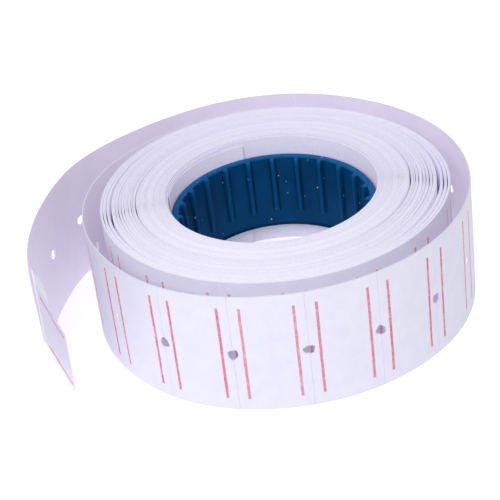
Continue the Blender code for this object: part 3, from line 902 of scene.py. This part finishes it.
def make_wound():
    first = 120 - TURNS * 360.0
    total = np.arange(first, OUTER_FROM - 2.0, 2.5)
    turn = TURNS + (total - 120) / 360
    r = spiral_r(total)
    room = spiral_r(total + 360) - r
    r_in = r - 0.082
    thick = np.minimum(0.205, room - 0.014)
    # pairs of layers part a little here and there, so that the end face isn't a ruled pattern
    thick = thick - 0.028 * (0.5 + 0.5 * value_noise(turn * 1.31 + 7, 3)) * (0.5 + 0.5 * value_noise(turn * 3.7, 4))
    layer = value_noise(turn * 1.0 + 0.31, 11)
    top = WEB_WIDTH - 0.02 + 0.050 * layer + 0.03 * value_noise(turn * 2.7, 12)
    top -= 0.34 * (1 - smooth((turn - 0.35) / 1.4)) + 0.06 * smooth((turn - 38) / 8) * (1 + layer)
    low = 0.03 + 0.03 * np.abs(value_noise(turn * 1.9, 13))
    c = 0.028
    t = np.radians(total)
    cosines, sines = np.cos(t), np.sin(t)

    def ring(radius, z):
        return np.column_stack([radius * cosines, radius * sines, z])

    r_out = r_in + thick
    rings = [ring(r_in, low), ring(r_in, top - c), ring(r_in + c, top), ring(r_in + thick * 0.46, top - 0.004),
             ring(r_out - c, top - 0.01), ring(r_out, top - c - 0.01), ring(r_out, low), ring((r_in + r_out) / 2, low - 0.02)]
    n, m = len(total), len(rings)
    points = np.stack(rings, 1).reshape(-1, 3)
    i = np.arange(n - 1)[:, None] * m
    j = np.arange(m)[None, :]
    quads = np.stack([i + j, i + m + j, i + m + (j + 1) % m, i + (j + 1) % m], -1).reshape(-1, 4)
    polys = [tuple(q) for q in quads] + [tuple(range(m)), tuple((n - 1) * m + np.arange(m)[::-1])]
    across = np.tile([0.0, 0.0, 0.1, 0.46, 0.9, 1.0, 1.0, 0.5], n)
    tone = np.repeat(0.5 + 0.5 * value_noise(turn * 1.0 + 0.5, 21), m)
    flag = np.tile([0.0, 1.0, 1.0, 1.0, 1.0, 1.0, 0.0, 0.0], n)
    mesh_object("wound_layers", points, polys, MAT_EDGES, "roll", ["wound_web", "sprung_turn_1", "sprung_turn_2",
                "sprung_turn_3"], None, np.column_stack([across, tone, flag]), sharp=62)


def make_lead():
    """The web's inner end: its upright cut edge and a top edge that slopes down to it."""
    angles = np.linspace(104.5, 176, 60)
    t = np.radians(angles)
    k = (angles - 104.5) / (176 - 104.5)
    r_in = 17.50 + 0.08 * smooth(k * 1.4)
    r_out = r_in + 0.13
    top = 20.55 + 0.35 * k + 0.03 * np.sin(angles / 5)
    low = np.full(len(angles), 0.06)
    c = 0.03
    rings = []
    for radius, z in ((r_in, low), (r_in, top - c), (r_in + c, top), (r_out - c, top), (r_out, top - c), (r_out, low)):
        rings.append(np.column_stack([radius * np.cos(t), radius * np.sin(t), z]))
    n, m = len(angles), len(rings)
    points = np.stack(rings, 1).reshape(-1, 3)
    polys = []
    for i in range(n - 1):
        for j in range(m):
            a, b = i * m + j, i * m + (j + 1) % m
            polys.append((a, a + m, b + m, b))
    polys += [tuple(range(m)), tuple((n - 1) * m + np.arange(m)[::-1])]
    data = np.column_stack([np.tile([0.3, 0.3, 0.6, 0.8, 1.0, 1.0], n), np.full(n * m, 0.55), np.ones(n * m)])
    mesh_object("inner_lead_sheet", points, polys, MAT_EDGES, "roll", ["inner_lead_end"], None, data,
                sharp=50)


# ------------------------------------------------------------------------------ core
def make_core():
    """One moulded ring: a plain outside, 23 ribs inside that stop short of a plain
    band, a lip at the bottom and rounded edges throughout."""
    z0, z1 = 4.0, 18.0
    ribs, phase = 23, 9.7
    pitch = 360 / ribs
    local = [0.0, 0.9, 1.35, 1.6, 1.8, 2.0, 2.3, 3.1, 4.6, 6.1]
    offsets = sorted([-a for a in local[1:]] + local + [7.8])
    angles = np.array([phase + i * pitch + o for i in range(ribs) for o in offsets])
    rib_mm = np.array([abs(math.radians(o)) * 15.9 for i in range(ribs) for o in offsets])
    rng = np.random.RandomState(3)
    rib = 1 - smooth((rib_mm - 0.31) / 0.22)
    count = len(angles)

    def base(z):
        return 15.95 + 0.40 * (z - z0) / (z1 - z0)

    marks = []  # painted highlight on the rim, painted light on the rib faces, painted shade by the ribs and darker towards the lower edge, for the material
    rows = []  # (radius per angle, z per angle)
    for z in (17.55, 17.3, 16.4, 14.4, 12.4, 10.4, 8.8, 7.9, 7.45, 7.2, 7.0, 6.8, 6.5, 5.9, 5.2, 4.75, 4.55):
        v = smooth((z - 6.75) / 0.55)
        # ribs stand less proud towards the top, as draft leaves them
        rows.append((base(z) - (base(z) - 15.55) * rib * v, np.full(count, z)))
        beside = np.exp(-(((rib_mm - 0.60) / 0.16) ** 2)) * v  # painted shade in the corners by the ribs
        marks.append((rib * smooth((z - 16.6) / 0.9), rib * v, np.maximum(beside, 0.35 * float(z < 4.6))))
    tops = []
    for dr, z in ((0.02, 17.72), (0.06, 17.84), (0.14, 17.93), (0.26, 17.985), (0.45, 18.0)):
        # the rib tops run out into the rim as teeth
        inner = base(z) + dr - (base(z) - 15.55 + dr * 0.25) * rib * (1 - smooth((z - 17.6) / 0.55) * 0.45)
        tops.append((inner, np.full(count, z) - rib * 0.06 * (dr < 0.3)))
    rows, marks = rows[::-1], marks[::-1]
    # painted highlight over the rim and the rib-top teeth
    marks += [(np.full(count, 1.0) * (1.0 if k else 0.7), rib, np.zeros(count)) for k in range(len(tops))]
    outer = [(np.full(count, r), np.full(count, z)) for r, z in
             ((17.10, 18.0), (17.25, 17.98), (17.37, 17.92), (17.44, 17.80), (17.46, 17.6), (17.46, 14.0), (17.46, 9.0),
              (17.46, 4.3), (17.42, 4.12), (17.32, 4.03), (17.15, 4.0))]
    under = [(np.full(count, r), np.full(count, z)) for r, z in
             ((16.6, 4.0), (16.1, 4.0), (15.92, 4.02), (15.80, 4.07), (15.745, 4.15), (15.75, 4.26), (15.83, 4.34),
              (15.93, 4.40))]
    # painted highlight on the outer rim's rounded edge; darker under the bottom lip
    marks += [(np.full(count, 1.0 if k < 3 else 0.0), np.zeros(count), np.zeros(count)) for k in range(len(outer))]
    marks += [(np.zeros(count), np.zeros(count), np.full(count, 1.0 if k > 2 else 0.0)) for k in range(len(under))]
    loop = rows + tops + outer + under  # up the inside, over the rim, down the outside, under
    t = np.radians(angles)
    rings = [np.column_stack([r * np.cos(t), r * np.sin(t), z]) for r, z in loop]
    m = len(rings)
    points = np.concatenate(rings)
    polys = []
    for j in range(m):
        k = (j + 1) % m
        for i in range(count):
            e = (i + 1) % count
            polys.append((j * count + i, j * count + e, k * count + e, k * count + i))
    data = np.concatenate([np.column_stack(m3) for m3 in marks])
    mesh_object("moulded_core", points, polys, MAT_CORE, "roll", ["ribbed_core"], None, data, sharp=60)


make_core()
make_wound()
make_lead()
make_liners()
make_labels()
make_flap()
make_fold()


# ------------------------------------------------------------------- stage and light
def make_stage():
    size = 2.0
    mesh = bpy.data.meshes.new("studio_floor")
    mesh.from_pydata([(-size, -size, 0), (size, -size, 0), (size, size, 0), (-size, size, 0)], [], [(0, 1, 2, 3)])
    mesh.materials.append(floor_material())
    floor = bpy.data.objects.new("studio_floor", mesh)
    floor.location.z = -0.00002
    bpy.context.scene.collection.objects.link(floor)

    world = bpy.data.worlds.new("studio")
    world.use_nodes = True
    back = world.node_tree.nodes["Background"]
    back.inputs["Color"].default_value = (0.955, 0.952, 1.0, 1)
    back.inputs["Strength"].default_value = 0.55
    bpy.context.scene.world = world

    def softbox(name, at, target, wide, power, colour=(1, 1, 1)):
        data = bpy.data.lights.new(name, "AREA")
        data.shape, data.size, data.energy, data.color = "SQUARE", wide, power, colour
        obj = bpy.data.objects.new(name, data)
        obj.location = at
        obj.rotation_euler = (Vector(target) - Vector(at)).to_track_quat("-Z", "Y").to_euler()
        bpy.context.scene.collection.objects.link(obj)

    softbox("key", (-0.20, -0.47, 0.50), (0, 0, 0.01), 0.36, 2.05)
    softbox("top", (0.02, 0.05, 0.62), (0, 0, 0.01), 0.50, 0.55)


def make_camera():
    data = bpy.data.cameras.new("camera")
    data.lens, data.sensor_width = 119.76, 36.0
    data.clip_start, data.clip_end = 0.01, 20
    obj = bpy.data.objects.new("camera", data)
    right, up = Vector((0.9931, -0.0461, -0.1075)), Vector((0.1157, 0.5239, 0.8439))
    right.normalize()
    back = right.cross(up).normalized()
    up = back.cross(right)
    turn = Matrix((right, up, back)).transposed().to_4x4()
    obj.matrix_world = Matrix.Translation((0.00375, -0.244537, 0.160417)) @ turn
    bpy.context.scene.collection.objects.link(obj)
    bpy.context.scene.camera = obj


make_stage()
make_camera()
bpy.context.scene.view_settings.view_transform = "Standard"
bpy.context.scene.view_settings.look = "None"
